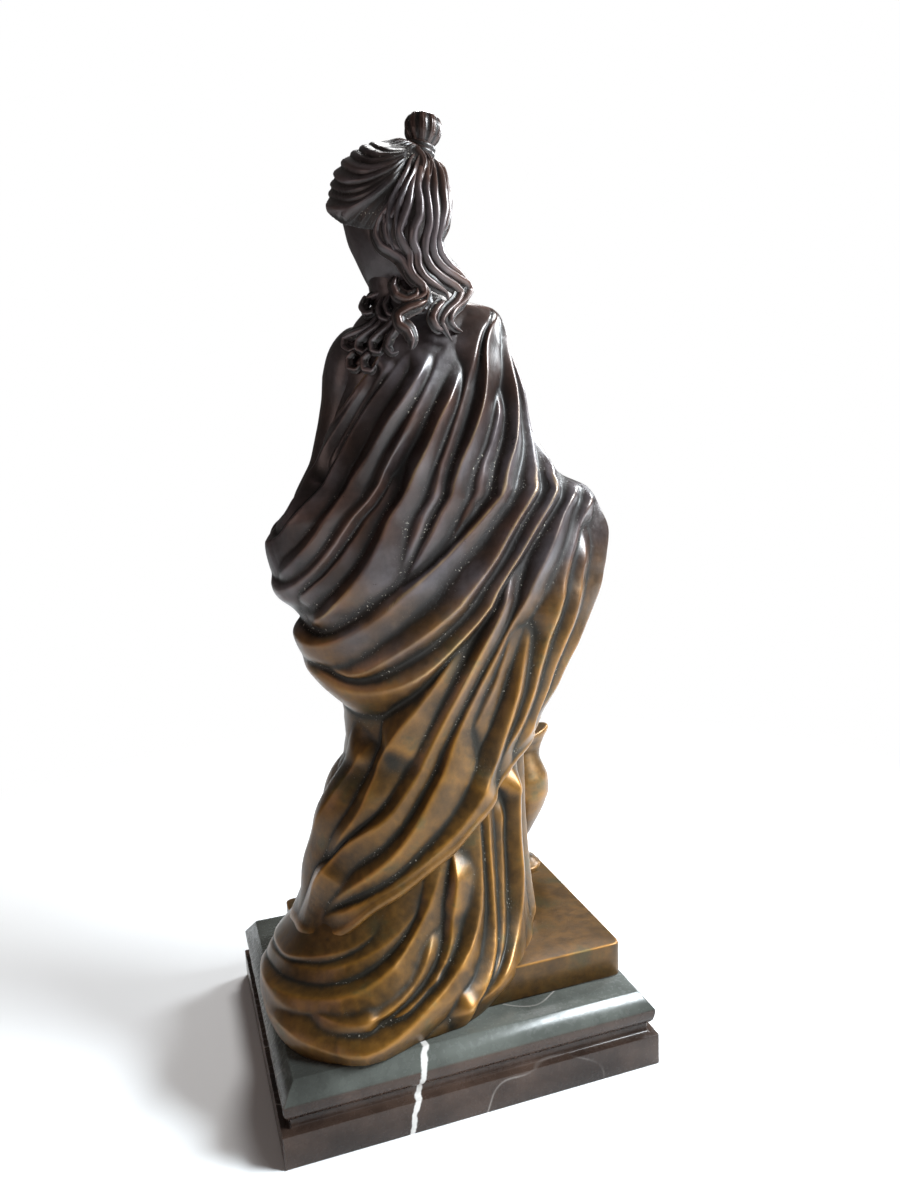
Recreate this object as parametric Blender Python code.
"""Bronze figure of a draped woman with a ewer, on a stepped marble plinth.

Axes: +Z up, the figure faces -Y, her left hand is towards +X.
The origin is the centre of the plinth's underside.
Places on the figure are in canon units: the figure is CANON units tall, measured from the
top of its bronze plate to the top of the bun, so the pose and the drapery scale with her height.
A place on the gown is (turn, height): turn is in degrees round her, 0 at the middle of the back,
+90 at her right side, -90 at her left side and 180 at the front.
"""

import math

import bmesh
import bpy
import numpy as np
from mathutils import Vector

# Driving sizes, in metres
PLINTH_WIDTH = 0.250
PLINTH_DEPTH = 0.214
PLINTH_HEIGHT = 0.0498
SLAB_HEIGHT = 0.0215
LEDGE_INSET = 0.0040
COVE_RADIUS = 0.0018
OVOLO_START = 0.0285
OVOLO_TOP = 0.0375
MOULDING_INSET = 0.0016
BEVEL_FOOT = 0.0389
BEVEL_INSET = 0.0099
ARRIS = 0.0004
PLATE_WIDTH = 0.228
PLATE_DEPTH = 0.153
PLATE_HEIGHT = 0.024
PLATE_ROUNDING = 0.0012
FIGURE_HEIGHT = 0.5425
SEAT_GAP = 0.0003
VOXEL = 0.0014
BRONZE_TRIANGLES = 9000

CANON = 217
UNIT = FIGURE_HEIGHT / CANON
PLATE_TOP = PLINTH_HEIGHT + SEAT_GAP + PLATE_HEIGHT
# Highest crest of a fold, in canon units
MAX_CREST = 4.4
# Where the folds were seen from: place in canon units, yaw, pitch and roll in degrees, and the
# middle and the scale in pixels of the 900 x 1200 picture
SIGHT_PLACE = np.array([64.46, 232.32, 136.78])
SIGHT_TURNS = (17.9839, 9.9655, -2.6636)
PICTURE_MIDDLE = (450.0, 600.0)
PICTURE_SCALE = 899.67

# The draped body as sections, in canon units: height, reach to her left, to her right,
# to the back and to the front, and how square the section is on the left and on the right
SECTIONS = np.array([
    (-10.0, 50.6, -23.0, 41.5, -24.0, 3.0, 2.2),
    (-5.0, 51.8, -29.0, 41.5, -24.0, 2.9, 2.2),
    (0.0, 51.2, -33.0, 39.8, -24.0, 2.7, 2.1),
    (5.0, 47.2, -33.5, 35.6, -23.0, 2.5, 2.0),
    (12.0, 41.4, -33.6, 31.0, -22.0, 2.3, 2.0),
    (20.0, 37.4, -33.6, 27.8, -21.0, 2.2, 2.0),
    (30.0, 33.4, -33.6, 25.0, -20.0, 2.1, 2.0),
    (40.0, 31.0, -33.8, 23.0, -19.0, 2.0, 2.0),
    (47.0, 27.6, -34.0, 21.5, -19.0, 2.0, 2.0),
    (55.0, 22.6, -35.5, 20.5, -19.0, 2.0, 2.0),
    (64.0, 21.8, -40.0, 20.0, -19.0, 2.0, 2.0),
    (70.0, 22.8, -43.7, 20.0, -20.0, 2.0, 2.0),
    (76.0, 25.4, -46.8, 20.3, -20.6, 2.0, 2.0),
    (80.0, 27.8, -49.0, 20.5, -21.0, 2.0, 2.0),
    (87.0, 30.2, -51.6, 20.5, -21.8, 2.0, 2.0),
    (95.0, 32.4, -54.2, 20.3, -22.5, 2.0, 2.0),
    (99.0, 35.6, -55.2, 20.0, -23.0, 2.0, 2.0),
    (103.0, 37.2, -56.3, 19.8, -22.8, 2.0, 2.0),
    (110.0, 37.5, -57.6, 19.0, -22.0, 2.0, 2.0),
    (118.0, 36.1, -57.3, 18.0, -20.0, 2.0, 2.0),
    (123.0, 31.5, -54.0, 17.5, -18.0, 2.0, 2.0),
    (127.0, 27.0, -46.0, 17.0, -17.0, 2.0, 2.0),
    (132.0, 24.6, -40.4, 16.5, -17.0, 2.0, 2.0),
    (139.0, 22.0, -37.2, 16.0, -18.0, 2.0, 2.0),
    (150.0, 18.5, -33.8, 15.5, -17.0, 2.1, 2.1),
    (160.0, 16.5, -30.9, 14.5, -13.0, 2.2, 2.2),
    (167.0, 14.5, -29.2, 12.5, -10.0, 2.3, 2.3),
    (171.0, 11.0, -26.8, 10.0, -8.0, 2.3, 2.3),
    (173.5, 8.0, -17.0, 8.0, -7.0, 2.1, 2.1),
    (176.0, 6.5, -9.5, 6.5, -7.0, 2.0, 2.0),
])

# The mantle's lower and upper edges and the gown's neckline, as heights at given turns
LOWER_EDGE = (
    (-104, -5), (-92, 2), (-72, 8), (-53, 12), (-43, 15), (-34, 20), (-22, 24), (-10, 29), (1, 33),
    (11, 38),
    (21, 42), (31, 47), (43, 51), (58, 55), (75, 58), (95, 60), (130, 58), (160, 48), (190, 37),
    (215, 24),
    (240, 8), (256, -5),
)
UPPER_EDGE = (
    (-240, 150), (-225, 134), (-200, 124), (-160, 119), (-125, 121), (-100, 126), (-90, 129), (-78, 135),
    (-66, 142), (-56, 148), (-43, 155), (-32, 165), (-20, 178), (0, 190), (96, 190), (106, 178),
    (120, 150),
)
NECKLINE = ((-240, 185), (-215, 156), (-180, 150), (-140, 150), (-105, 152), (-60, 158), (120, 185))
# How far the skirt lies under the mantle's lower edge, at given turns
SKIRT_RECESS = (
    (-110, 1.6), (-60, 1.8), (-30, 2.6), (10, 4.0), (60, 4.8), (120, 4.5), (180, 3.0), (250, 1.6),
)
SKIN_RECESS = 2.4
NECK_RECESS = 0.8
MANTLE_SETTLE = 1.7
SKIRT_SETTLE = 1.2
HEM_ROLL = 0.7

# Head: its middle, how far it is turned to her left and bowed, in canon units and degrees
HEAD = (0.5, 0.5, 195.5)
HEAD_TURN = 22.0
HEAD_BOW = 19.0
NECK = ((-2.0, 2.5, 166.0), (-1.0, 1.5, 174.0), (0.0, 1.0, 182.0), (0.3, 0.8, 188.0))
# Front reach and half width of the face at heights up it
FACE_PROFILE = np.array([
    (-21, 7.5), (-20, 10.4), (-18.5, 12.2), (-16.5, 12.7), (-14.6, 12.0), (-13.2, 12.6), (-12, 12.4),
    (-10.8, 12.9), (-9.4, 12.7), (-7, 12.9), (-3, 12.6), (0, 12.5), (3, 13.7), (6, 13.9), (8.5, 12.8),
    (11, 9.5),
])
FACE_WIDTH = np.array([
    (-21, 3.0), (-20, 4.6), (-17.5, 6.9), (-14, 8.9), (-9, 10.4), (-3, 11.3), (3, 11.4), (8, 10), (11, 7),
])
# Soft bumps on the face: place aside and up, widths aside and up, and push
FACE_BUMPS = (
    (0, -6.6, 1.5, 2.0, 2.3), (0, -3.6, 1.2, 3.0, 1.9), (0, 0.0, 1.1, 3.0, 0.9),
    (1.5, -7.2, 0.9, 1.0, 0.9),
    (4.7, -0.4, 2.3, 1.7, -1.5), (4.7, -0.6, 1.6, 1.1, 0.9), (4.2, 2.9, 2.9, 0.8, 0.6),
    (0, -11.0, 2.5, 0.7, 0.7), (0, -13.1, 2.1, 0.8, 0.8), (0, -17.2, 2.4, 1.6, 0.7),
    (6.5, -5.5, 3.0, 3.0, 0.5),
)
HAIR_LOCKS = 30
HAIR_DEPTH = 1.6
BUN_BASE = (-6.6, 4.6, 206.6)
BUN_TOP = (-9.3, 3.6, 217.0)
# Radius of the bun at shares of its length
BUN_PROFILE = np.array([
    (0, 3.4), (0.14, 2.9), (0.28, 3.2), (0.5, 4.4), (0.68, 4.7), (0.84, 4.1), (0.94, 2.6), (1.0, 0.6),
])
BUN_BANDS = tuple(
    tuple(
        (
            BUN_BASE[0] - 0.26 * lift + 3.2 * math.cos(0.7854 * k),
            BUN_BASE[1] - 0.1 * lift + 3.2 * math.sin(0.7854 * k),
            BUN_BASE[2] + 0.97 * lift + 0.8 * math.cos(0.7854 * k),
        )
        for k in range(9)
    )
    for lift in (0.9, 2.2)
)
# Lower edges of the combed bands, in pixels of the picture, with the height of each
BANDS = (
    (0.5, ((371, 142), (378, 146), (388, 149), (398, 149), (406, 148))),
    (0.7, ((361, 147), (367, 152), (376, 155), (386, 154), (398, 152), (406, 150))),
    (0.8, ((352, 153), (359, 158), (370, 161), (380, 160), (391, 157), (405, 152))),
    (0.9, ((343, 163), (350, 168), (358, 171), (368, 171), (379, 168), (391, 163), (405, 154))),
    (1.0, ((333, 173), (338, 179), (346, 182), (358, 181), (370, 178), (382, 173), (394, 166),
     (405, 157))),
    (0.9, ((329, 184), (336, 189), (344, 191), (355, 190), (367, 186), (380, 179), (393, 170),
     (405, 158))),
    (1.0, ((328, 194), (336, 197), (346, 199), (356, 198), (366, 194), (377, 187), (390, 176),
     (404, 160))),
    (1.1, ((328, 206), (337, 209), (345, 210), (354, 207), (364, 200), (376, 191), (389, 179),
     (403, 162))),
    (0.35, ((352, 218), (360, 209), (370, 200), (382, 190), (393, 179), (403, 164))),
    (0.3, ((362, 224), (370, 212), (379, 201), (388, 190), (396, 179), (404, 166))),
    (0.35, ((372, 230), (378, 218), (385, 206), (392, 194), (398, 182), (405, 168))),
)
# Hairline: lowest share up the head at shares of the way from the back of the head to the front
HAIRLINE = np.array([
    (-1.0, -0.85), (-0.5, -0.76), (-0.2, -0.64), (0.0, -0.50), (0.3, -0.22), (0.5, 0.06), (0.7, 0.34),
    (1.0, 0.48),
])
# How far back the hair lies at pixels down the picture, in canon units
HAIR_BACK = np.array([
    (150, 8.0), (160, 10.0), (172, 13.0), (190, 15.6), (210, 16.4), (228, 16.2), (242, 15.4), (256, 14.6),
    (272, 14.6), (288, 15.4), (305, 16.2), (325, 16.6), (350, 16.8),
])
HAIR_MIDDLE = 420.0
# Lift, largest half width, and the pixels of each lock
LOCKS = (
    (0.2, 2.3, ((407, 156), (402, 170), (400, 185), (397, 198), (389, 210), (381, 221), (379, 234),
     (384, 245),
     (394, 251), (403, 258), (408, 268), (414, 278), (423, 286), (425, 294), (417, 299), (405, 301))),
    (0.5, 2.0, ((412, 157), (407, 172), (405, 190), (401, 205), (393, 216), (387, 227), (389, 239),
     (398, 248),
     (406, 258), (411, 268))),
    (0.7, 2.1, ((418, 158), (413, 172), (411, 188), (409, 205), (404, 220), (400, 232), (405, 244),
     (411, 254),
     (410, 266), (414, 276), (423, 284), (428, 292), (426, 302))),
    (1.0, 2.1, ((424, 158), (418, 172), (417, 188), (420, 203), (420, 217), (414, 230), (413, 242),
     (418, 254),
     (418, 266), (424, 277), (436, 286), (446, 293), (449, 302))),
    (0.8, 2.0, ((427, 158), (425, 172), (425, 190), (428, 208), (429, 224), (425, 240), (424, 254),
     (430, 267),
     (441, 277), (453, 285), (459, 293), (455, 303), (446, 311), (440, 321), (446, 332), (452, 342))),
    (0.9, 2.0, ((430, 158), (432, 174), (433, 194), (435, 212), (434, 228), (431, 242), (433, 256),
     (441, 267),
     (453, 275), (464, 282), (468, 291), (462, 301), (452, 310), (448, 320), (454, 328), (464, 333))),
    (0.3, 2.1, ((433, 159), (438, 174), (441, 192), (443, 210), (440, 225), (436, 240), (439, 254),
     (447, 265),
     (457, 273), (465, 281), (467, 290))),
    (0.0, 1.9, ((436, 161), (442, 178), (445, 198), (446, 214), (443, 227), (438, 238))),
    (0.3, 1.6, ((396, 276), (394, 286), (398, 295), (407, 299), (416, 295), (417, 287))),
    (0.2, 1.8, ((427, 300), (418, 305), (408, 309), (399, 315), (401, 324), (409, 330), (413, 341),
     (411, 350))),
    (0.0, 1.6, ((443, 300), (436, 309), (432, 318), (436, 327), (444, 332))),
)
# Curls on her left shoulder: lift over the draped body, largest half width, and pixels
CURLS = (
    (-0.6, 1.6, ((392, 283), (384, 289), (375, 294), (366, 299), (362, 306), (366, 313), (373, 311),
     (373, 304))),
    (0.0, 1.4, ((398, 288), (390, 296), (386, 306), (389, 315), (396, 316), (400, 309))),
    (-0.4, 1.4, ((382, 300), (379, 308), (381, 317), (388, 320), (391, 313))),
    (-1.6, 1.4, ((379, 311), (370, 321), (360, 327), (350, 331), (341, 336), (339, 345), (346, 350),
     (353, 346))),
    (-1.2, 1.4, ((385, 314), (376, 324), (366, 331), (357, 338), (355, 347), (362, 352), (368, 346))),
    (-0.6, 1.4, ((394, 315), (387, 325), (378, 333), (371, 341), (372, 350), (380, 352), (383, 345))),
    (-0.2, 1.3, ((403, 317), (397, 327), (390, 336), (387, 346), (392, 354), (399, 351))),
    (-1.8, 1.2, ((350, 348), (344, 356), (345, 366), (353, 369), (358, 363))),
    (-1.0, 1.2, ((368, 350), (362, 358), (363, 368), (371, 371), (375, 365))),
)
# The mass of hair under the loose locks: its middle in the picture and its half width
NAPE_PIXELS = (
    (421, 165), (422, 185), (418, 205), (413, 222), (412, 238), (420, 255), (431, 272), (436, 290),
)
NAPE_RADII = (4.5, 5.6, 6.6, 7.4, 6.4, 4.8, 4.4, 3.0)
NAPE_DEPTH = 3.2
# Arms, hands and fingers: a path and the radii along it
LIMBS = (
    (((5, -1, 163), (11, -3, 159), (15, -6, 147), (21, -9, 131), (28, -11, 118)), (8, 8.5, 7.5, 7, 6.5)),
    (((30, -10, 113), (26, -19, 112), (18, -25, 112), (12, -27.5, 111)), (7, 5.5, 4.2, 3.6)),
    (((12, -27.5, 111), (7, -28.5, 110), (3, -29, 109)), (3.4, 4.0, 3.0)),
    (((4, -29.5, 110.5), (-1, -30, 109.5), (-4, -29, 107)), (1.2, 1.2, 1.0)),
    (((4, -30, 108.5), (-1.5, -30.5, 107), (-4.5, -29, 104.5)), (1.2, 1.2, 1.0)),
    (((4.5, -30, 106.5), (-0.5, -30.3, 104.5), (-3.5, -29, 102.5)), (1.2, 1.2, 1.0)),
    (((-42, -12, 118), (-40, -21, 115), (-35, -27, 113), (-31, -29, 112)), (6.5, 5.2, 4.2, 3.6)),
    (((-31, -29, 112), (-26, -30, 111), (-22, -30, 110)), (3.4, 4.0, 3.0)),
    (((-23, -30.5, 112), (-18, -30.5, 111), (-15, -29, 108.5)), (1.2, 1.2, 1.0)),
    (((-23, -31, 110), (-17.5, -31, 108.5), (-14.5, -29, 106)), (1.2, 1.2, 1.0)),
    (((-23.5, -31, 108), (-18.5, -31, 106), (-15.5, -29, 104)), (1.2, 1.2, 1.0)),
)
# Feet and toes in front of the hem: middle, direction and radii
TOES = (
    ((6, -24, 1.8), (0.15, -1, 0), (6.5, 3.6, 3.0)), ((-14, -22, 1.8), (-0.1, -1, 0), (6.5, 3.6, 3.0)),
    ((8.2, -29.0, 1.2), (0.15, -1, 0), (1.8, 1.3, 1.2)), ((5.6, -29.2, 1.1), (0.1, -1, 0),
     (1.6, 1.0, 1.1)),
    ((3.6, -28.4, 1.0), (0.1, -1, 0), (1.5, 0.9, 1.0)), ((-16.4, -27.2, 1.2), (-0.1, -1, 0),
     (1.8, 1.3, 1.2)),
    ((-13.8, -27.4, 1.1), (-0.1, -1, 0), (1.6, 1.0, 1.1)), ((-11.8, -26.6, 1.0), (0, -1, 0),
     (1.5, 0.9, 1.0)),
)
# Ewer on the plate at her right: its middle, radius and height up its outline, spout and handle
EWER_PLACE = (-38.3, -22.0)
EWER_PROFILE = np.array([
    (6.3, -0.5), (6.5, 1.0), (5.2, 2.2), (3.2, 4.0), (2.2, 7.0), (2.1, 9.5), (3.4, 11.2), (6.6, 15.0),
    (9.6, 20.0),
    (10.7, 25.0), (10.2, 29.0), (8.2, 33.0), (5.6, 36.4), (4.2, 39.0), (3.9, 41.0), (4.7, 43.6),
    (4.2, 44.4), (1.0, 43.4),
])
EWER_SPOUT = 5.6
EWER_HANDLE = ((-34, -23, 42.5), (-30.5, -24, 47), (-27.5, -25, 46), (-26.8, -25, 39), (-28.5, -24, 31))

# Folds seen in the photograph: height, steep and gentle reach as shares of the gap to the next
# fold, the heights at TAIL_TURNS where the fold runs on round her left side, and the crest in
# pixels of the picture
TAIL_TURNS = (-125, -165, -205, -240)
BOTH = (0.68, 0.68)
STEEP_LEFT = (0.5, 0.95)
MANTLE_FOLDS = (
    (0.7, BOTH, (), ((372, 372), (352, 402), (336, 428), (320, 455), (308, 480), (298, 497),
     (285, 515), (272, 535))),
    (0.5, BOTH, (), ((391, 358), (375, 382), (362, 402), (348, 425), (335, 448), (322, 470))),
    (1.1, STEEP_LEFT, (112, 112, 116, 128), ((400, 362), (380, 388), (365, 407), (352, 430), (342, 450),
     (333, 468), (325, 485), (315, 500), (302, 515), (288, 530), (274, 542))),
    (1.0, STEEP_LEFT, (), ((431, 352), (420, 372), (404, 398), (390, 418), (378, 440),
     (366, 462), (350, 483), (340, 500), (328, 520), (317, 535), (308, 548), (295, 560), (283, 572),
     (274, 581))),
    (1.2, BOTH, (99, 101, 107, 120), ((441, 358), (431, 378), (422, 395), (412, 418), (400, 440),
     (388, 462),
     (376, 483), (366, 502), (352, 524), (335, 548), (322, 565), (310, 577), (296, 587), (280, 593))),
    (0.5, BOTH, (), ((398, 468), (388, 490), (374, 513), (360, 534), (343, 557), (325, 577),
     (308, 592), (295, 603))),
    (1.15, STEEP_LEFT, (), ((462, 372), (450, 395), (437, 420), (425, 450), (412, 475),
     (401, 497), (392, 515), (383, 535), (375, 552), (365, 570), (352, 587), (345, 597), (335, 607),
     (322, 618),
     (308, 628))),
    (0.8, BOTH, (), ((492, 310), (482, 330), (476, 350), (470, 375), (463, 400), (455, 425), (446, 450),
     (437, 478), (428, 503), (418, 530), (408, 555), (398, 580))),
    (1.1, STEEP_LEFT, (), ((497, 305), (490, 325), (486, 340), (484, 360), (484, 380), (481, 400),
     (475, 420),
     (467, 442), (459, 462), (450, 490), (441, 512), (432, 533), (422, 553), (413, 570), (404, 588))),
    (0.6, BOTH, (), ((500, 385), (499, 410), (495, 430), (489, 450), (481, 473), (474, 497), (464, 520),
     (452, 543), (440, 558), (427, 571))),
    (1.6, STEEP_LEFT, (88, 91, 100, 114), ((505, 313), (506, 330), (507, 350), (509, 375), (511, 395),
     (513, 415), (513, 435), (511, 450), (506, 465), (500, 480), (494, 493), (486, 508), (478, 520),
     (469, 532),
     (460, 543), (452, 552), (440, 563), (430, 573), (420, 582), (410, 591), (398, 601), (385, 611),
     (370, 624),
     (355, 635), (340, 643), (322, 645), (305, 640))),
    (1.4, BOTH, (), ((508, 325), (511, 350), (516, 380), (521, 405), (526, 430), (530, 448),
     (531, 475), (527, 490), (519, 505), (508, 525), (497, 548), (486, 567),
     (475, 583), (465, 597), (452, 610), (440, 620), (425, 633), (412, 643), (398, 651), (385, 660),
     (372, 669),
     (358, 675), (345, 674), (332, 668), (318, 662))),
    (1.2, BOTH, (79, 82, 92, 108), ((531, 412), (538, 432), (544, 450), (545, 475), (543, 490),
     (538, 506), (531, 522), (522, 542),
     (513, 562), (504, 580), (494, 597), (483, 613), (472, 627), (458, 643), (445, 658), (432, 670),
     (418, 680),
     (402, 686), (385, 690), (368, 692), (352, 690), (338, 685), (325, 678), (314, 672))),
    (1.2, STEEP_LEFT, (), ((520, 560), (512, 580), (505, 600), (495, 622), (483, 645), (470, 670),
     (458, 693),
     (446, 714), (436, 735), (426, 755), (416, 775), (407, 793), (397, 808), (386, 819), (373, 828),
     (358, 837),
     (345, 846), (334, 858), (324, 872), (314, 888), (305, 903), (300, 918), (296, 932))),
    (0.9, STEEP_LEFT, (), ((470, 640), (455, 658), (440, 678), (427, 695), (413, 712), (400, 728),
     (389, 747),
     (380, 763), (374, 782), (368, 801), (358, 817), (346, 831), (335, 845), (324, 860))),
    (0.6, BOTH, (), ((372, 742), (360, 757), (349, 774), (337, 793), (326, 809), (318, 822),
     (311, 838), (304, 856),
     (297, 875), (292, 895))),
    (1.2, STEEP_LEFT, (), ((572, 480), (563, 500), (556, 522), (548, 545), (540, 563), (532, 580),
     (525, 597),
     (517, 612), (510, 630), (500, 650), (489, 671), (478, 690), (466, 714), (453, 741), (445, 763),
     (437, 785),
     (427, 805), (415, 825), (403, 843), (390, 858), (376, 870), (360, 882), (345, 893), (330, 903),
     (315, 910), (300, 914))),
    (0.5, BOTH, (), ((517, 614), (513, 635), (507, 655), (498, 680), (489, 700), (479, 722), (470, 741))),
    (1.2, STEEP_LEFT, (), ((534, 630), (527, 650), (520, 672), (512, 700), (505, 725), (500, 748),
     (490, 775),
     (480, 795), (467, 815), (450, 835), (432, 852), (415, 868), (398, 882), (382, 893), (365, 902),
     (350, 909),
     (335, 914), (318, 919), (302, 924))),
    (0.9, BOTH, (), ((585, 485), (583, 505), (577, 527), (570, 550), (563, 573), (557, 595), (552, 615),
     (547, 635), (541, 655), (535, 675), (530, 692), (523, 712), (516, 730), (508, 748), (501, 767),
     (496, 782))),
    (0.7, BOTH, (), ((587, 530), (583, 560), (578, 585), (573, 605), (567, 625), (560, 645), (552, 670),
     (545, 692), (537, 714), (528, 736), (518, 756))),
    (0.6, BOTH, (), ((600, 500), (604, 525), (602, 555), (595, 585), (585, 615), (573, 645), (561, 672),
     (551, 697), (541, 720))),
)
SKIRT_FOLDS = (
    (1.0, BOTH, (), ((524, 760), (524, 790), (525, 820), (526, 850), (528, 880), (529, 905), (528, 925),
     (524, 945), (518, 965), (511, 983), (500, 1000), (490, 1012))),
    (0.6, BOTH, (), ((512, 800), (512, 840), (513, 880), (514, 920), (512, 950), (507, 975), (498, 995))),
    (0.9, BOTH, (), ((497, 800), (497, 830), (498, 860), (499, 885), (500, 905), (501, 925), (501, 945),
     (499, 965), (495, 985), (486, 1002), (472, 1016), (455, 1026))),
    (1.3, BOTH, (), ((487, 815), (488, 835), (489, 860), (489, 885), (488, 905), (485, 925), (479, 942),
     (470, 957), (460, 971), (450, 984), (438, 998), (426, 1011), (413, 1025), (400, 1037), (385, 1046),
     (368, 1052), (350, 1055), (332, 1055), (315, 1050), (302, 1041), (293, 1028))),
    (0.9, STEEP_LEFT, (), ((458, 855), (459, 875), (457, 900), (455, 922), (454, 943), (449, 960),
     (441, 976),
     (431, 990), (418, 1004), (402, 1017), (385, 1028))),
    (0.8, BOTH, (), ((438, 925), (433, 945), (428, 963), (421, 979), (411, 993), (398, 1006), (384, 1016),
     (368, 1023), (350, 1026), (335, 1024), (320, 1017), (305, 1008))),
    (1.3, STEEP_LEFT, (), ((448, 862), (443, 880), (436, 897), (429, 914), (421, 929), (412, 943),
     (403, 956),
     (394, 968), (384, 980), (372, 990), (355, 996), (335, 999), (315, 999), (298, 997), (285, 992))),
    (0.6, BOTH, (), ((425, 905), (410, 925), (395, 940), (378, 952), (360, 962), (340, 968),
     (315, 970), (292, 966))),
    (0.6, BOTH, (), ((380, 930), (362, 943), (342, 953), (322, 957), (300, 955), (284, 955))),
)

# Fans of folds on the sides that the photograph doesn't show. Guides are lines on the gown; a fold
# is its place among the guides, its height, and the shares of the way where it begins and ends
SKIRT_FRONT = {
    "guides": (
        ((80, 64), (84, 34), (84, 12), (84, -4)),
        ((120, 66), (118, 34), (114, 12), (112, -4)),
        ((168, 56), (158, 30), (150, 12), (146, -4)),
        ((205, 40), (196, 24), (188, 10), (182, -4)),
        ((240, 22), (232, 14), (226, 6), (220, -5)),
    ),
    "folds": (
        (0.1, 0.9, 0, 1), (0.5, 0.7, 0, 1), (0.9, 1.0, 0, 1), (1.3, 0.8, 0, 1), (1.65, 1.0, 0, 1),
        (2.0, 0.8, 0, 1), (2.4, 1.1, 0, 1), (2.8, 0.8, 0, 1), (3.2, 1.0, 0, 1), (3.6, 0.9, 0, 1),
        (4.0, 0.9, 0, 1),
    ),
    "depth": 0.5,
}
MANTLE_FRONT = {
    "guides": (
        ((118, 122), (132, 104), (160, 88), (196, 74), (232, 66), (252, 64), (270, 68)),
        ((112, 112), (128, 88), (156, 70), (192, 56), (228, 46), (252, 40), (268, 38)),
        ((106, 96), (122, 74), (152, 58), (188, 43), (222, 30), (250, 18), (266, 10)),
        ((98, 80), (118, 66), (148, 53), (184, 38), (216, 23), (244, 6), (256, -4)),
    ),
    "folds": (
        (0.05, 1.0, 0, 1), (0.4, 0.8, 0, 1), (0.8, 1.1, 0, 1), (1.15, 0.8, 0, 1), (1.5, 1.0, 0, 1),
        (1.85, 0.8, 0, 1), (2.2, 1.1, 0, 1), (2.6, 0.8, 0, 1), (2.95, 0.9, 0, 1),
    ),
    "depth": 0.45,
}
MANTLE_SHOULDER_FRONT = {
    "guides": (
        ((82, 170), (88, 150), (94, 138), (104, 128)),
        ((100, 172), (108, 150), (114, 138), (118, 128)),
    ),
    "folds": ((0.2, 0.9, 0, 1), (0.6, 0.8, 0, 1), (1.0, 1.0, 0, 1)),
    "depth": 0.4,
}
CHEST = {
    "guides": (
        ((-100, 156), (-112, 140), (-122, 124)),
        ((-150, 154), (-156, 138), (-160, 122)),
        ((-205, 158), (-204, 142), (-204, 124)),
        ((-238, 168), (-232, 150), (-226, 134)),
    ),
    "folds": (
        (0.1, 0.8, 0, 1), (0.4, 1.0, 0, 1), (0.7, 0.7, 0, 1), (1.0, 1.0, 0, 1), (1.3, 0.8, 0, 1),
        (1.6, 0.9, 0, 1), (1.9, 0.8, 0, 1), (2.2, 1.0, 0, 1), (2.5, 0.8, 0, 1), (2.8, 0.9, 0, 1),
    ),
    "depth": 0.35,
}


def clear_scene():
    for found in list(bpy.data.objects):
        bpy.data.objects.remove(found)


def material(name, colour, roughness, metallic):
    made = bpy.data.materials.new(name)
    made.use_nodes = True
    shader = made.node_tree.nodes["Principled BSDF"]
    shader.inputs["Base Color"].default_value = (*colour, 1.0)
    shader.inputs["Roughness"].default_value = roughness
    shader.inputs["Metallic"].default_value = metallic
    return made


def through_knots(x, y, at):
    """Smooth curve through the knots (x, y), with no overshoot between them."""
    x, y = np.asarray(x, float), np.asarray(y, float)
    step = np.diff(x)
    rise = np.diff(y) / step
    slope = np.concatenate([rise[:1], np.zeros(len(x) - 2), rise[-1:]])
    product = rise[:-1] * rise[1:]
    total = np.where(rise[:-1] + rise[1:] == 0, 1, rise[:-1] + rise[1:])
    slope[1:-1] = np.where(product > 0, 2 * product / total, 0)
    at = np.clip(at, x[0], x[-1])
    k = np.clip(np.searchsorted(x, at, side="right") - 1, 0, len(step) - 1)
    t = (at - x[k]) / step[k]
    start = (2 * t**3 - 3 * t**2 + 1) * y[k] + (t**3 - 2 * t**2 + t) * step[k] * slope[k]
    end = (3 * t**2 - 2 * t**3) * y[k + 1] + (t**3 - t**2) * step[k] * slope[k + 1]
    return start + end


def smooth_step(low, high, value):
    t = np.clip((value - low) / (high - low), 0, 1)
    return t * t * (3 - 2 * t)


def smooth_path(knots, count, passes):
    """Knots joined by a line of count evenly spaced places, softened but for its two ends."""
    knots = np.array(knots, float)
    steps = np.linalg.norm(np.diff(knots, axis=0), axis=1)
    run = np.concatenate([[0], np.cumsum(steps)])
    at = np.linspace(0, run[-1], count)
    line = np.stack([np.interp(at, run, knots[:, k]) for k in range(knots.shape[1])], -1)
    for _ in range(passes):
        line[1:-1] = 0.25 * line[:-2] + 0.5 * line[1:-1] + 0.25 * line[2:]
    return line


def edge_height(knots, turn):
    """Height of an edge line at a turn; the knots run once round the figure."""
    knots = np.array(knots, float)
    first = knots[0, 0]
    return through_knots(knots[:, 0], knots[:, 1], (turn - first) % 360 + first)


def body_surface(turn, height):
    """Point of the smooth draped body: a section whose corners swell with its squareness."""
    left, right, back, front, square_left, square_right = (
        through_knots(SECTIONS[:, 0], SECTIONS[:, k], height) for k in range(1, 7)
    )
    s, c = np.sin(np.radians(turn)), np.cos(np.radians(turn))
    square = np.where(s < 0, square_left, square_right)
    swell = (np.abs(s) ** square + np.abs(c) ** square) ** (-1 / square)
    x = (left + right) / 2 - (left - right) / 2 * swell * s
    y = (back + front) / 2 + (back - front) / 2 * swell * c
    return np.stack([x, y, height + 0 * turn], -1)


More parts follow.
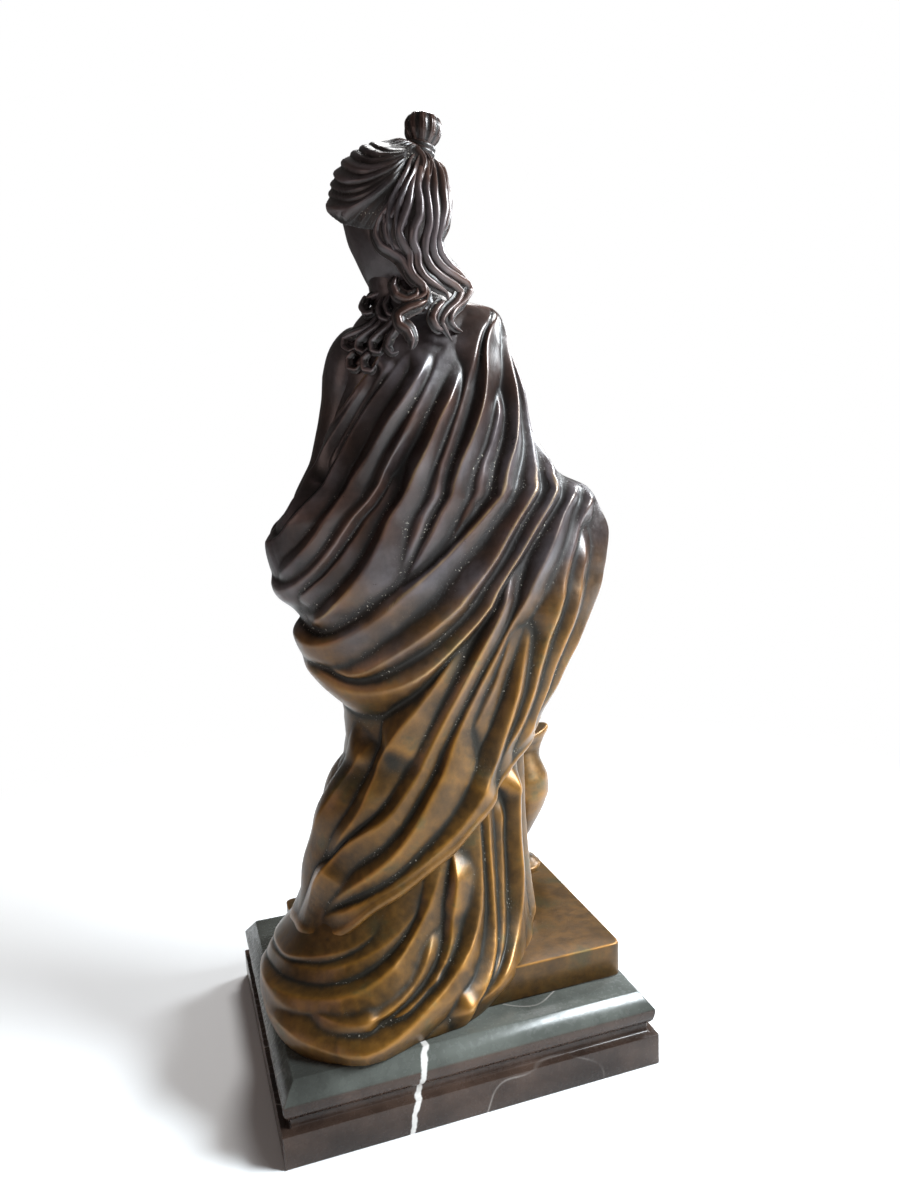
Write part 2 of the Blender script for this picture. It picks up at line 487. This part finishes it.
def outward(turn, height):
    """Direction square to the body: the cross product of its slopes round and up."""
    around = body_surface(turn + 4, height) - body_surface(turn - 4, height)
    up = body_surface(turn, height + 6) - body_surface(turn, height - 6)
    up[..., 2] = np.maximum(up[..., 2], 6)
    normal = np.cross(around, up)
    return normal / (np.linalg.norm(normal, axis=-1, keepdims=True) + 1e-9)


def camera_axes(yaw, pitch, roll):
    """Right, up and forward: forward points to -Y turned by yaw and dipped by pitch, then rolled."""
    yaw, pitch, roll = (math.radians(angle) for angle in (yaw, pitch, roll))
    forward = np.array([-math.sin(yaw) * math.cos(pitch), -math.cos(yaw) * math.cos(pitch), -math.sin(pitch)])
    right = np.cross(forward, [0, 0, 1.0])
    right /= np.linalg.norm(right)
    up = np.cross(right, forward)
    turned = math.cos(roll) * right + math.sin(roll) * up
    return turned, -math.sin(roll) * right + math.cos(roll) * up, forward


def picture_places(points):
    """Pixel across and down at which each point is seen: its side shares over its depth."""
    right, up, forward = camera_axes(*SIGHT_TURNS)
    away = points - SIGHT_PLACE
    depth = away @ forward
    across = PICTURE_MIDDLE[0] + PICTURE_SCALE * (away @ right) / depth
    return np.stack([across, PICTURE_MIDDLE[1] - PICTURE_SCALE * (away @ up) / depth], -1)


def seen_grid(surface, slope, first, second):
    """The places (two parameters) of a surface that face the camera, and their pixels."""
    grid = np.stack(np.meshgrid(first, second), -1).reshape(-1, 2)
    points = surface(grid[:, 0], grid[:, 1])
    facing = ((SIGHT_PLACE - points) * slope(grid[:, 0], grid[:, 1])).sum(1) > 0
    return grid[facing], picture_places(points[facing])


def seen_at(path, seen):
    """Parameters of the surface at each pixel: the mean of the five nearest seen places."""
    grid, pixels = seen
    off = ((np.array(path, float)[:, None] - pixels[None]) ** 2).sum(-1)
    near = np.argsort(off, axis=1)[:, :5]
    weight = 1 / (np.take_along_axis(off, near, 1) + 0.5)
    return (grid[near] * weight[..., None]).sum(1) / weight.sum(1)[:, None]


def in_sight(pixel, back):
    """Where the line of sight through a pixel meets the upright plane that lies back behind her."""
    across = (pixel[:, 0] - PICTURE_MIDDLE[0]) / PICTURE_SCALE
    down = (pixel[:, 1] - PICTURE_MIDDLE[1]) / PICTURE_SCALE
    right, up, forward = camera_axes(*SIGHT_TURNS)
    way = forward + across[:, None] * right - down[:, None] * up
    return SIGHT_PLACE + way * ((back - SIGHT_PLACE[1]) / way[:, 1])[:, None]


def lock_path(lift, pixels):
    """The lock on the rounded back of the hair: nearer by lift, and farther off the middle."""
    pixels = np.array(pixels, float)
    off = np.abs(pixels[:, 0] - HAIR_MIDDLE) / 10.0
    back = through_knots(HAIR_BACK[:, 0], HAIR_BACK[:, 1], pixels[:, 1])
    return in_sight(pixels, back + lift - 0.35 * off**2)


def curl_path(lift, pixels):
    """The curl on the draped body, raised or sunk by lift."""
    places = seen_at(pixels, SEEN_BODY)
    turn, height = places[:, 0], places[:, 1]
    return body_surface(turn, height) + lift * outward(turn, height)


def crest_line(path, tail, count=60):
    """A fold's crest on the body: its seen part, and then its run round her left side to the front."""
    places = seen_at(path, SEEN_BODY)
    if tail:
        places = np.concatenate([places, np.array([TAIL_TURNS, tail], float).T])
    places = smooth_path(places, count, 5)
    return body_surface(places[:, 0], places[:, 1])


def gaps_beside(lines, most=10.0):
    """Distance from each place of each line to the nearest other line on its left and on its right."""
    run = np.gradient(lines, axis=1)
    run /= np.linalg.norm(run, axis=-1, keepdims=True) + 1e-9
    out = np.array([0, 0, 1.0])
    gaps = np.full((2, *lines.shape[:2]), most)
    for k in range(len(lines)):
        others = np.delete(lines, k, 0).reshape(-1, 3)
        off = others[None] - lines[k][:, None]
        along = (off * run[k][:, None]).sum(-1)
        centre = lines[k] * np.array([1, 1, 0]) - np.array([-5.0, 0, 0])
        side = np.cross(run[k], centre / (np.linalg.norm(centre, axis=1, keepdims=True) + 1e-9))
        toward = (off * side[:, None]).sum(-1)
        distance = np.linalg.norm(off, axis=-1)
        beside = (np.abs(along) < 2.5) & (distance < most)
        for which, mask in enumerate((toward < 0, toward > 0)):
            found = np.where(beside & mask, distance, most).min(1)
            gaps[which, k] = np.maximum(found, 2.2)
    smooth = np.array([0.25, 0.5, 0.25])
    for _ in range(4):
        padded = np.pad(gaps, ((0, 0), (0, 0), (1, 1)), mode="edge")
        gaps = smooth[0] * padded[..., :-2] + smooth[1] * padded[..., 1:-1] + smooth[2] * padded[..., 2:]
    return gaps


def seen_folds(folds):
    """Lines, half widths on both sides and crest heights of the folds of one layer."""
    lines = np.array([crest_line(path, tail) for _, _, tail, path in folds])
    gaps = gaps_beside(lines)
    share = np.linspace(0, 1, lines.shape[1])
    shapes = []
    for k, (height, (steep, gentle), tail, _) in enumerate(folds):
        left, right_gap = gaps[0, k], gaps[1, k]
        waver = 1 + 0.14 * np.sin(7 * share + 2.1 * k) + 0.08 * np.sin(17 * share + 1.3 * k)
        fade = smooth_step(-0.04, 0.14, share) * smooth_step(1.03, 0.84, share)
        crest = np.minimum(0.5 * height * 2 * left * right_gap / (left + right_gap), MAX_CREST) * waver * fade
        roundness = smooth_step(0.2, 0.6, share) if tail else 0.35 + 0 * share
        shapes.append((lines[k], left * steep * 1.25, right_gap * gentle * 1.1, crest, roundness))
    return shapes


def fan_folds(fan, count=56):
    """The same for a fan: each line is a blend of its two neighbouring guides."""
    guides = np.stack([smooth_path(guide, count, 10) for guide in fan["guides"]])
    lines, folds = [], sorted(fan["folds"])
    for place, _, _, _ in folds:
        k = min(int(place), len(guides) - 2)
        lines.append(guides[k] * (k + 1 - place) + guides[k + 1] * (place - k))
    lines = np.array(lines)
    lines = body_surface(lines[..., 0], lines[..., 1])
    gaps = np.clip(np.linalg.norm(np.diff(lines, axis=0), axis=2), 1.0, 8.0)
    share = np.linspace(0, 1, count)
    shapes = []
    for k, (_, height, start, end) in enumerate(folds):
        before, after = gaps[max(k - 1, 0)], gaps[min(k, len(gaps) - 1)]
        fade = smooth_step(start - 0.01, start + 0.12, share) * smooth_step(end + 0.01, end - 0.1, share)
        crest = np.minimum(fan["depth"] * height * (before + after) / 2, MAX_CREST) * fade
        shapes.append((lines[k], before * 0.75, after * 0.75, crest, 0.2 + 0 * share))
    return shapes


def ridge(points, normals, line, half_left, half_right, crest, roundness):
    """One fold: a blend of the pulled shape (1 - s)^1.5 and the rolled shape (1 - s^2)^1.3."""
    reach = max(half_left.max(), half_right.max())
    low, high = line.min(0) - reach, line.max(0) + reach
    near = np.nonzero(((points > low) & (points < high)).all(1))[0]
    height = np.zeros(len(points))
    if len(near) == 0:
        return height
    p = points[near]
    a, d = line[:-1], np.diff(line, axis=0)
    length2 = (d * d).sum(1) + 1e-9
    along = (p @ d.T - (a * d).sum(1)) / length2
    t = np.clip(along, 0, 1)
    distance2 = (p * p).sum(1)[:, None] - 2 * p @ a.T + (a * a).sum(1)
    distance2 = distance2 - 2 * t * along * length2 + t * t * length2
    best = distance2.argmin(1)
    row = np.arange(len(p))
    t, distance = t[row, best], np.sqrt(np.maximum(distance2[row, best], 0))
    foot = a[best] + d[best] * t[:, None]
    side = (np.cross(d[best], p - foot) * normals[near]).sum(1)
    where = best + t
    steps = np.arange(len(line))
    left, right_reach = np.interp(where, steps, half_left), np.interp(where, steps, half_right)
    blend = 0.5 + 0.5 * np.clip(side / (np.linalg.norm(d[best], axis=1) * 0.5 + 1e-9), -1, 1)
    spread = distance / (left * blend + right_reach * (1 - blend))
    spread = np.sqrt(spread**2 + 0.006) - 0.077
    spread = np.clip(spread, 0, 1)
    rolled = np.interp(where, steps, roundness)
    shape = (1 - rolled) * (1 - spread) ** 1.5 + rolled * (1 - spread**2) ** 1.3
    height[near] = shape * np.interp(where, steps, crest)
    return height


def fold_field(points, normals, shapes):
    """Folds of one layer, joined by a soft maximum: the fourth root of the sum of fourth powers."""
    flat, flat_normals = points.reshape(-1, 3), normals.reshape(-1, 3)
    total = np.zeros(len(flat))
    for shape in shapes:
        total += ridge(flat, flat_normals, *shape) ** 4
    return (total ** (1 / 4)).reshape(points.shape[:-1])


def drape(turn, height, fans, settle):
    """Cloth over the body: its folds stand above a level sunk by settle."""
    smooth, normals = body_surface(turn, height), outward(turn, height)
    folds = np.max([fold_field(smooth, normals, shapes) for shapes in fans], axis=0)
    level = normals * np.array([1.0, 1.0, 0.4])
    return smooth + level * (folds - settle)[..., None], level


def layer_grid(bottom, top, columns, rows):
    """Turn and height of a grid whose rows run from one edge line to another."""
    turn = np.linspace(-180, 180, columns, endpoint=False)[None, :]
    share = np.linspace(0, 1, rows)[:, None]
    height = bottom(turn) * (1 - share) + top(turn) * share
    return turn + 0 * height, height


def skirt_layer(columns, rows):
    """Underskirt, which shows below the mantle's lower edge."""
    turn, height = layer_grid(
        lambda t: 0 * t + SECTIONS[0, 0], lambda t: edge_height(LOWER_EDGE, t) + 5, columns, rows
    )
    settle = SKIRT_SETTLE + edge_height(SKIRT_RECESS, turn)
    return drape(turn, height, (seen_folds(SKIRT_FOLDS), fan_folds(SKIRT_FRONT)), settle)[0]


def mantle_layer(columns, rows):
    """Mantle, with both edges rolled and turned in under it."""
    turn, height = layer_grid(
        lambda t: edge_height(LOWER_EDGE, t),
        lambda t: np.minimum(edge_height(UPPER_EDGE, t), SECTIONS[-1, 0]),
        columns,
        rows,
    )
    fans = (seen_folds(MANTLE_FOLDS), fan_folds(MANTLE_FRONT), fan_folds(MANTLE_SHOULDER_FRONT))
    points, level = drape(turn, height, fans, MANTLE_SETTLE)
    low, high = height[:1], height[-1:]
    roll = np.exp(-(((height - low - 1.2) / 1.1) ** 2))
    roll = roll + np.exp(-(((height - high + 1.2) / 1.1) ** 2))
    points = points + level * (HEM_ROLL * roll)[..., None]
    down = np.array([0, 0, 1.0])
    first, last = points[:1], points[-1:]
    inner, outer = level[:1], level[-1:]
    under = [first - inner * 6, first - inner * 1.6 - down * 0.3, first - inner * 0.5 - down * 0.5]
    over = [last - outer * 0.5 + down * 0.4, last - outer * 1.6 + down * 0.2, last - outer * 5]
    return np.concatenate(under + [points] + over)


def bodice_layer(columns, rows):
    """Gown and bare skin above the mantle's upper edge."""
    turn, height = layer_grid(
        lambda t: np.minimum(edge_height(UPPER_EDGE, t), SECTIONS[-1, 0] - 2) - 6,
        lambda t: 0 * t + SECTIONS[-1, 0],
        columns,
        rows,
    )
    bare = smooth_step(-0.3, 0.6, height - edge_height(NECKLINE, turn))
    points, level = drape(turn, height, (fan_folds(CHEST),), SKIN_RECESS)
    smooth = body_surface(turn, height) - level * (SKIN_RECESS + NECK_RECESS)
    return points * (1 - bare[..., None]) + smooth * bare[..., None]


def ring_mesh(points):
    """Faces and vertices of a stack of closed rings, with a fan cap at each end."""
    rows, columns = points.shape[:2]
    index = np.arange(rows * columns).reshape(rows, columns)
    ring = np.roll(index, -1, 1)
    quads = np.stack([index[:-1], ring[:-1], ring[1:], index[1:]], -1).reshape(-1, 4)
    vertices = np.concatenate([points.reshape(-1, 3), points[:1].mean(1), points[-1:].mean(1)])
    low, high = rows * columns, rows * columns + 1
    bottom = [(low, int(j), int(i)) for i, j in zip(index[0], ring[0])]
    top = [(high, int(i), int(j)) for i, j in zip(index[-1], ring[-1])]
    return vertices, quads.tolist() + bottom + top


def tube_mesh(path, radii, sides=10, strands=0, flatten=1.0, peak=0.0):
    """Rod along a path, its radius running through the radii, with strands as grooves and a peak."""
    count = max(12, len(path) * 5)
    line = smooth_path(path, count, 4)
    share = np.linspace(0, 1, count)
    radius = np.interp(share, np.linspace(0, 1, len(radii)), radii)
    radius = radius * np.sqrt(np.clip(1 - (2 * share - 1) ** 16, 0, 1)) + 0.05
    run = np.gradient(line, axis=0)
    run /= np.linalg.norm(run, axis=1, keepdims=True) + 1e-9
    away = line - np.array([0.0, 0.0, 1.0]) * line[:, 2:] - np.array([HEAD[0], HEAD[1], 0.0])
    across = np.cross(run, away)
    across /= np.linalg.norm(across, axis=1, keepdims=True) + 1e-9
    lift = np.cross(across, run)
    angle = np.linspace(0, 2 * math.pi, sides, endpoint=False)
    groove = 1 + (0.14 * np.cos(strands * angle) if strands else 0 * angle)
    rise = np.sin(angle) * flatten + peak * np.abs(np.sin(angle)) ** 9 * np.sign(np.sin(angle))
    ring = across[:, None] * np.cos(angle)[:, None] + lift[:, None] * rise[:, None]
    return ring_mesh(line[:, None] + ring * groove[:, None] * radius[:, None, None])


def ellipsoid_mesh(centre, forward, radii, columns=20, rows=14):
    """Egg with its long axis along forward."""
    f = np.array(forward, float) / np.linalg.norm(forward)
    side = np.cross(f, [0, 0, 1.0])
    side /= np.linalg.norm(side)
    up = np.cross(side, f)
    polar = np.linspace(0.08, math.pi - 0.08, rows)[:, None, None]
    angle = np.linspace(0, 2 * math.pi, columns, endpoint=False)[None, :, None]
    shape = radii[0] * np.cos(polar) * f + np.sin(polar) * (
        radii[1] * np.cos(angle) * side + radii[2] * np.sin(angle) * up
    )
    return ring_mesh(np.array(centre) + shape)


def head_frame():
    """Forward, left and up directions of the turned and bowed head."""
    yaw, bow = math.radians(HEAD_TURN), math.radians(HEAD_BOW)
    forward = np.array([math.sin(yaw) * math.cos(bow), -math.cos(yaw) * math.cos(bow), -math.sin(bow)])
    left = np.array([math.cos(yaw), math.sin(yaw), 0.0])
    return forward, left, np.cross(forward, left)


def face_mesh(columns, rows):
    """Face and skull: sections up the head, with soft bumps for nose, brow, lips and eyes."""
    forward, left, up = head_frame()
    rise = np.linspace(-20.5, 11, rows)[:, None]
    angle = np.linspace(-math.pi, math.pi, columns, endpoint=False)[None, :]
    front = through_knots(FACE_PROFILE[:, 0], FACE_PROFILE[:, 1], rise)
    half = through_knots(FACE_WIDTH[:, 0], FACE_WIDTH[:, 1], rise)
    across = half * np.sin(angle)
    deep = np.where(np.cos(angle) > 0, front * np.abs(np.cos(angle)) ** 0.85, 8 * np.cos(angle))
    facing = smooth_step(0.1, 0.5, np.cos(angle))
    for side, height, width, tall, push in FACE_BUMPS:
        for sign in ((1, -1) if side else (1,)):
            bump = np.exp(-(((across - sign * side) / width) ** 2) - ((rise - height) / tall) ** 2)
            deep = deep + push * bump * facing
    points = deep[..., None] * forward + across[..., None] * left + (rise + 0 * angle)[..., None] * up
    return ring_mesh(np.array(HEAD) + points)


def hair_axes():
    """The pole at the topknot, and the directions square to it ahead and to her left."""
    pole = np.array(BUN_BASE) - np.array(HEAD)
    pole = pole / np.linalg.norm(pole)
    aside = np.cross(pole, head_frame()[0])
    aside /= np.linalg.norm(aside)
    return pole, np.cross(aside, pole), aside


def hair_way(angle, polar):
    """Direction on a globe whose pole is the topknot."""
    pole, ahead, aside = hair_axes()
    ring = np.cos(angle)[..., None] * ahead + np.sin(angle)[..., None] * aside
    return np.cos(polar)[..., None] * pole + np.sin(polar)[..., None] * ring


def hair_egg(angle, polar):
    """Egg round the head: the inverse root of the squared shares of its three radii."""
    way = hair_way(angle, polar)
    f, s, u = (way @ axis for axis in head_frame())
    size = ((f / 16.0) ** 2 + (s / 14.9) ** 2 + (u / 15.2) ** 2) ** -0.5
    return np.array(HEAD) + way * size[..., None]


def hair_mesh(columns, rows):
    """The egg with combed bands: crest lines on the seen side, meridians on the other."""
    polar = np.linspace(0.05, math.pi - 0.1, rows)[:, None]
    angle = np.linspace(0, 2 * math.pi, columns, endpoint=False)[None, :]
    angle, polar = angle + 0 * polar, polar + 0 * angle
    points, way = hair_egg(angle, polar), hair_way(angle, polar)
    f, s, u = (way @ axis for axis in head_frame())
    seen = seen_grid(
        hair_egg, hair_way, np.radians(np.arange(0, 360, 1.5)), np.radians(np.arange(3, 170, 1.0))
    )
    lines = []
    for _, path in BANDS:
        places = smooth_path(seen_at(path, seen), 40, 3)
        lines.append(hair_egg(places[:, 0], places[:, 1]))
    lines = np.array(lines)
    gaps = np.linalg.norm(np.diff(lines, axis=0), axis=2)
    shapes = []
    for k, (height, _) in enumerate(BANDS):
        above, below = gaps[max(k - 1, 0)], gaps[min(k, len(gaps) - 1)]
        crest = height * np.minimum(above, 3.0) / 3.0
        shapes.append((lines[k], above * 0.95, below * 0.35, crest * 1.3, 0.3 + 0 * crest))
    bands = fold_field(points, way, shapes)
    off = ((lines[:, ::8].reshape(-1, 3)[None, None] - points[:, :, None]) ** 2).sum(-1).min(-1)
    unseen = smooth_step(0.1, 0.9, off / 60)
    comb = np.abs(np.sin(HAIR_LOCKS / 2 * (angle + 0.25 * np.sin(2.2 * polar + 3 * angle)))) ** 0.8
    relief = unseen * HAIR_DEPTH * (comb - 0.5) * np.sin(polar) ** 0.7 + (1 - unseen) * (bands - 0.6)
    cover = smooth_step(-0.05, 0.03, u - through_knots(HAIRLINE[:, 0], HAIRLINE[:, 1], f))
    size = (np.linalg.norm(points - np.array(HEAD), axis=-1) + relief) * (0.62 + 0.38 * cover)
    return ring_mesh(np.array(HEAD) + way * size[..., None])


def bun_mesh(columns, rows):
    """Topknot: a pear with a band at its foot and grooves along it."""
    base, top = np.array(BUN_BASE), np.array(BUN_TOP)
    axis = (top - base) / np.linalg.norm(top - base)
    side = np.cross(axis, [0, 1.0, 0])
    side /= np.linalg.norm(side)
    other = np.cross(axis, side)
    share = np.linspace(0, 1, rows)[:, None]
    angle = np.linspace(0, 2 * math.pi, columns, endpoint=False)[None, :]
    radius = through_knots(BUN_PROFILE[:, 0], BUN_PROFILE[:, 1], share)
    groove = np.abs(np.sin(5 * (angle + 0.5 * share)))
    radius = radius * (0.92 + 0.1 * groove * smooth_step(0.2, 0.4, share))
    ring = np.cos(angle)[..., None] * side + np.sin(angle)[..., None] * other
    length = np.linalg.norm(top - base)
    return ring_mesh(base + (share * length)[..., None] * axis + radius[..., None] * ring)


def ewer_mesh(columns, rows):
    """Ewer: a turned body whose rim is drawn out to a spout."""
    share = np.linspace(0, 1, rows)[:, None]
    run = np.linspace(0, 1, len(EWER_PROFILE))
    radius = through_knots(run, EWER_PROFILE[:, 0], share)
    height = through_knots(run, EWER_PROFILE[:, 1], share)
    angle = np.linspace(0, 2 * math.pi, columns, endpoint=False)[None, :]
    toward = np.clip(np.cos(angle - math.pi), 0, 1) ** 6 * smooth_step(36, 44, height)
    radius = radius + EWER_SPOUT * toward
    height = height + 1.6 * toward
    x = EWER_PLACE[0] + radius * np.cos(angle)
    y = EWER_PLACE[1] + radius * np.sin(angle)
    return ring_mesh(np.stack([x, y, height], -1))


def add_mesh(name, mesh_data):
    """Object from points in canon units, standing on the plate."""
    vertices, faces = mesh_data
    vertices = np.array(vertices, float)
    vertices[:, 2] = np.maximum(vertices[:, 2], (PLINTH_HEIGHT - PLATE_TOP) / UNIT - 1.5)
    mesh = bpy.data.meshes.new(name)
    placed = vertices * UNIT + np.array([0, 0, PLATE_TOP])
    mesh.from_pydata(placed.tolist(), [], faces)
    made = bpy.data.objects.new(name, mesh)
    bpy.context.scene.collection.objects.link(made)
    return made


def figure_parts():
    """Every shape of the bronze casting, as named meshes that run into one another."""
    parts = {
        "skirt": ring_mesh(skirt_layer(300, 90)),
        "mantle": ring_mesh(mantle_layer(360, 220)),
        "bodice": ring_mesh(bodice_layer(180, 50)),
        "neck": tube_mesh(NECK, (9.5, 7.8, 7.4, 7.6), 24),
        "face": face_mesh(96, 90),
        "hair": hair_mesh(200, 90),
        "bun": bun_mesh(48, 40),
        "ewer": ewer_mesh(40, 60),
        "ewer_handle": tube_mesh(EWER_HANDLE, (1.0, 1.2, 1.2, 1.0), 8),
    }
    nape = np.array(NAPE_PIXELS, float)
    back = through_knots(HAIR_BACK[:, 0], HAIR_BACK[:, 1], nape[:, 1]) - NAPE_DEPTH
    parts["nape_hair"] = tube_mesh(in_sight(nape, back), NAPE_RADII, 40, 12, 0.55)
    for k, (lift, width, pixels) in enumerate(LOCKS):
        radii = (0.5 * width, 0.9 * width, width, width, 0.95 * width, 0.8 * width, 0.25 * width)
        parts[f"lock_{k}"] = tube_mesh(lock_path(lift, pixels), radii, 12, 0, 0.42, 0.42)
    for k, (lift, width, pixels) in enumerate(CURLS):
        radii = (0.9 * width, width, width, 0.8 * width, 0.3 * width)
        parts[f"curl_{k}"] = tube_mesh(curl_path(lift, pixels), radii, 10, 0, 0.5, 0.35)
    for k, path in enumerate(BUN_BANDS):
        parts[f"bun_band_{k}"] = tube_mesh(path, (0.7, 0.7), 8)
    for k, (path, radii) in enumerate(LIMBS):
        parts[f"limb_{k}"] = tube_mesh(path, radii, 12)
    for k, (centre, forward, radii) in enumerate(TOES):
        parts[f"toe_{k}"] = ellipsoid_mesh(centre, forward, radii)
    return parts


def plate_mesh():
    """Bronze self-base: a box with softened edges, one ring per step of its profile."""
    foot, soft = PLINTH_HEIGHT + SEAT_GAP, PLATE_ROUNDING
    steps = (
        (0, foot), (0, PLATE_TOP - soft), (0.3 * soft, PLATE_TOP - 0.3 * soft), (soft, PLATE_TOP),
    )
    return rectangle_rings(PLATE_WIDTH, PLATE_DEPTH, steps)


def rectangle_rings(width, depth, steps):
    """Closed body of stacked rectangles; each step is an inset from the full size and a height."""
    corners = np.array([(-1, -1), (1, -1), (1, 1), (-1, 1)])
    points = []
    for inset, height in steps:
        half = np.array([width / 2 - inset, depth / 2 - inset])
        points += [(*(corner * half), height) for corner in corners]
    faces = [(3, 2, 1, 0)]
    for k in range(len(steps) - 1):
        low = 4 * k
        faces += [(low + i, low + (i + 1) % 4, low + 4 + (i + 1) % 4, low + 4 + i) for i in range(4)]
    top = 4 * (len(steps) - 1)
    return points, faces + [(top, top + 1, top + 2, top + 3)]


def plinth_profile():
    """Insets and heights up the plinth: slab, small cove, rounded moulding and sloping bevel."""
    steps = [(ARRIS, 0), (0, ARRIS), (0, SLAB_HEIGHT - ARRIS), (ARRIS, SLAB_HEIGHT)]
    cove = LEDGE_INSET + COVE_RADIUS
    steps += [(LEDGE_INSET, SLAB_HEIGHT)]
    for k in (1, 2, 3):
        angle = math.radians(30 * k)
        rise = COVE_RADIUS * (1 - math.cos(angle))
        steps += [(LEDGE_INSET + COVE_RADIUS * math.sin(angle), SLAB_HEIGHT + rise)]
    start, reach = OVOLO_START, MOULDING_INSET
    steps += [(cove, start)]
    for k in range(1, 7):
        angle = math.radians(15 * k)
        inset = cove - (cove - reach) * math.sin(angle)
        steps += [(inset, start + (OVOLO_TOP - start) * (1 - math.cos(angle)))]
    steps += [(reach, BEVEL_FOOT), (BEVEL_INSET, PLINTH_HEIGHT - ARRIS),
    (BEVEL_INSET + ARRIS, PLINTH_HEIGHT)]
    return steps


def box_object(name, low, high):
    mesh = bpy.data.meshes.new(name)
    made = bpy.data.objects.new(name, mesh)
    bpy.context.scene.collection.objects.link(made)
    work = bmesh.new()
    bmesh.ops.create_cube(work, size=1)
    for vertex in work.verts:
        vertex.co = Vector([high[k] if vertex.co[k] > 0 else low[k] for k in range(3)])
    work.to_mesh(mesh)
    work.free()
    return made


def settle_modifiers(target):
    """Turn an object's modifiers into plain mesh."""
    graph = bpy.context.evaluated_depsgraph_get()
    mesh = bpy.data.meshes.new_from_object(target.evaluated_get(graph))
    target.modifiers.clear()
    target.data = mesh


def bronze_body():
    """The casting as one closed skin: all shapes fused, thinned to BRONZE_TRIANGLES, cut flat below."""
    parts = [add_mesh(name, data) for name, data in figure_parts().items()]
    points, faces = plate_mesh()
    plate_data = bpy.data.meshes.new("plate")
    plate_data.from_pydata(points, [], faces)
    plate = bpy.data.objects.new("plate", plate_data)
    bpy.context.scene.collection.objects.link(plate)
    merged = bmesh.new()
    for part in [*parts, plate]:
        merged.from_mesh(part.data)
    bmesh.ops.recalc_face_normals(merged, faces=merged.faces)
    mesh = bpy.data.meshes.new("bronze_figure")
    merged.to_mesh(mesh)
    merged.free()
    for part in [*parts, plate]:
        bpy.data.objects.remove(part)
    body = bpy.data.objects.new("bronze_figure", mesh)
    bpy.context.scene.collection.objects.link(body)
    fuse = body.modifiers.new("fuse", "REMESH")
    fuse.mode, fuse.voxel_size, fuse.adaptivity = "VOXEL", VOXEL, 0.0
    settle_modifiers(body)
    thin = body.modifiers.new("thin", "DECIMATE")
    thin.ratio = BRONZE_TRIANGLES / (2 * len(body.data.polygons))
    settle_modifiers(body)
    floor = PLINTH_HEIGHT + SEAT_GAP
    cutter = box_object("cutter", (-0.3, -0.3, floor - 0.1), (0.3, 0.3, floor))
    cut = body.modifiers.new("flat underside", "BOOLEAN")
    cut.operation, cut.solver, cut.object = "DIFFERENCE", "EXACT", cutter
    settle_modifiers(body)
    bpy.data.objects.remove(cutter)
    return body


SEEN_BODY = seen_grid(body_surface, outward, np.arange(-124.0, 112.0, 1.0), np.arange(-10.0, 176.0, 0.8))


def main():
    clear_scene()
    body = bronze_body()
    body.data.materials.clear()
    body.data.materials.append(material("bronze", (0.16, 0.09, 0.05), 0.35, 1.0))
    points, faces = rectangle_rings(PLINTH_WIDTH, PLINTH_DEPTH, plinth_profile())
    mesh = bpy.data.meshes.new("marble_plinth")
    mesh.from_pydata(points, [], faces)
    plinth = bpy.data.objects.new("marble_plinth", mesh)
    bpy.context.scene.collection.objects.link(plinth)
    mesh.materials.append(material("marble", (0.05, 0.045, 0.04), 0.2, 0.0))


main()
